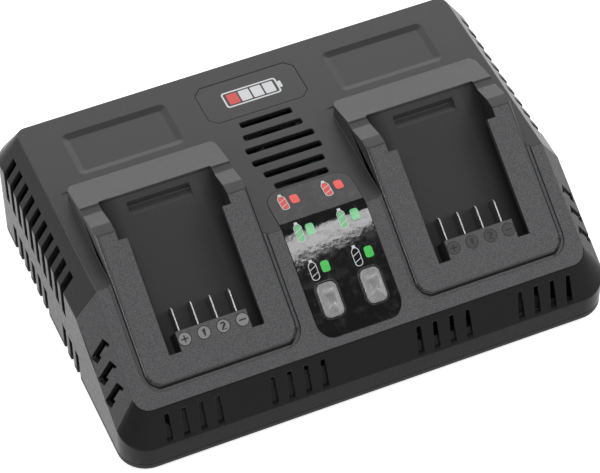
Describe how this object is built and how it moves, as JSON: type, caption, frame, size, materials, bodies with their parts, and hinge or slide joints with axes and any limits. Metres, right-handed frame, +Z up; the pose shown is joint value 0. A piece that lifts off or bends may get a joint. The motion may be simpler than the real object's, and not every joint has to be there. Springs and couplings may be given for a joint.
{
  "type": "power tool battery charger",
  "caption": "Mains charger for slide-on power tool batteries: sloping bays with contact blades beside a glossy indicator panel with push buttons, and a fan grille in the deck behind.",
  "frame": {"origin": "middle of the footprint, on the surface that the feet stand on", "axes": "+X to the charger's right as seen from its front, +Y to the rear, +Z up"},
  "size_m": [0.26, 0.188, 0.0844],
  "materials": {
    "case": "satin, spark-eroded grain on the sloping faces",
    "badge": "gloss",
    "overlay": "gloss",
    "button": "gloss",
    "guide_green": "clear tinted",
    "guide_red": "clear tinted",
    "switch_body": "satin",
    "plunger": "satin",
    "led": "gloss",
    "board": "solder mask",
    "blade": "nickel plate",
    "terminal": "satin",
    "screw": "zinc plate",
    "fan_plastic": "satin",
    "fan_steel": "lamination stack",
    "bearing": "sintered",
    "ferrite": "sintered",
    "winding": "enamelled wire",
    "can": "sleeved",
    "film": "gloss",
    "fuse": "clear with plated caps",
    "varistor": "gloss",
    "package": "satin",
    "heatsink": "mill",
    "connector": "satin",
    "lead": "insulation",
    "grommet": "matt",
    "foot": "matt"
  },
  "bodies": {
    "charger": {"top_cover": "case", "base_shell": "case", "badge_plate": "badge", "indicator_overlay": "overlay", "green_light_guides": "guide_green", "red_light_guides": "guide_red", "left_switch": "switch_body", "right_switch": "switch_body", "indicator_leds": "led", "indicator_board": "board", "main_board": "board", "left_plus_blade": "blade", "left_signal_1_blade": "blade", "left_signal_2_blade": "blade", "left_minus_blade": "blade", "right_plus_blade": "blade", "right_signal_1_blade": "blade", "right_signal_2_blade": "blade", "right_minus_blade": "blade", "left_terminal_block": "terminal", "right_terminal_block": "terminal", "terminal_screws": "screw", "indicator_screws": "screw", "fan_screws": "screw", "board_screws": "screw", "case_screws": "screw", "fan_frame": "fan_plastic", "fan_stator": "fan_steel", "fan_bearing": "bearing", "transformer_core": "ferrite", "mains_choke_core": "ferrite", "transformer_winding": "winding", "mains_choke_winding": "winding", "bulk_capacitors": "can", "output_capacitors": "can", "x_capacitor": "film", "fuse": "fuse", "varistor": "varistor", "bridge_rectifier": "package", "power_transistors": "package", "output_rectifiers": "package", "control_chips": "package", "primary_heatsink": "heatsink", "secondary_heatsink": "heatsink", "inlet_connector": "connector", "terminal_headers": "connector", "ribbon_sockets": "connector", "fan_header": "connector", "left_terminal_leads": "lead", "right_terminal_leads": "lead", "fan_leads": "lead", "indicator_ribbon": "lead", "inlet_grommet": "grommet", "rubber_feet": "foot"},
    "left_button": {"left_button": "button", "left_switch_plunger": "plunger"},
    "right_button": {"right_button": "button", "right_switch_plunger": "plunger"},
    "fan_rotor": {"fan_rotor": "fan_plastic"}
  },
  "joints": [
    {"name": "left_button_press", "type": "slide", "parent": "charger", "child": "left_button", "axis": [0, 0.5446, -0.8387], "range_m": [0, 0.001], "stiffness_N_per_m": 600, "springref_m": -0.0005},
    {"name": "right_button_press", "type": "slide", "parent": "charger", "child": "right_button", "axis": [0, 0.5446, -0.8387], "range_m": [0, 0.001], "stiffness_N_per_m": 600, "springref_m": -0.0005},
    {"name": "fan_spin", "type": "hinge", "parent": "charger", "child": "fan_rotor", "pos_m": [0, 0.0173, 0.0585], "axis": [0, 0, 1], "continuous": true}
  ]
}
